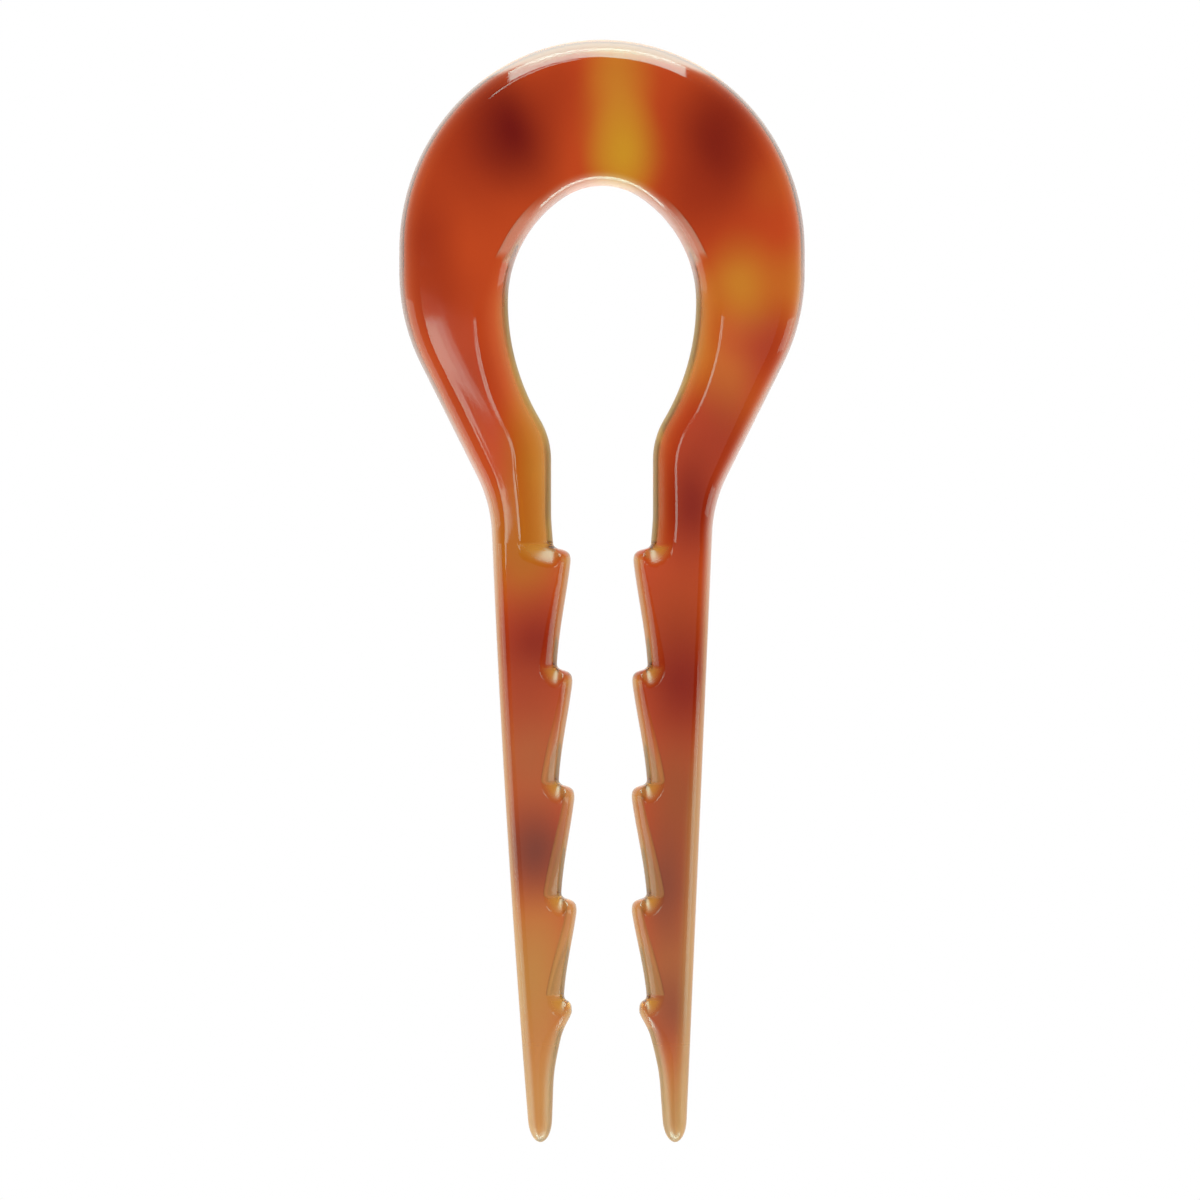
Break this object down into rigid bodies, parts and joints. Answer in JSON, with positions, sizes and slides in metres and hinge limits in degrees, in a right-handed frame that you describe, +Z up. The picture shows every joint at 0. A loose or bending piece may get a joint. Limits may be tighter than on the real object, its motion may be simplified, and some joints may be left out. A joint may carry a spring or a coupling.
{
  "type": "french hair pin",
  "caption": "Flat two-pronged hair pin with a round open head and toothed prongs, for holding a twist or bun of long hair.",
  "frame": {"origin": "under the middle of the pin's outline, on the surface that it lies on", "axes": "+Y along the pin towards its head, +Z up through its thickness, +X across the prongs"},
  "size_m": [0.0424, 0.115, 0.0042],
  "materials": {
    "acetate": "polished mottled tortoiseshell cellulose acetate"
  },
  "bodies": {
    "root": {"hair_pin": "acetate"}
  },
  "joints": []
}
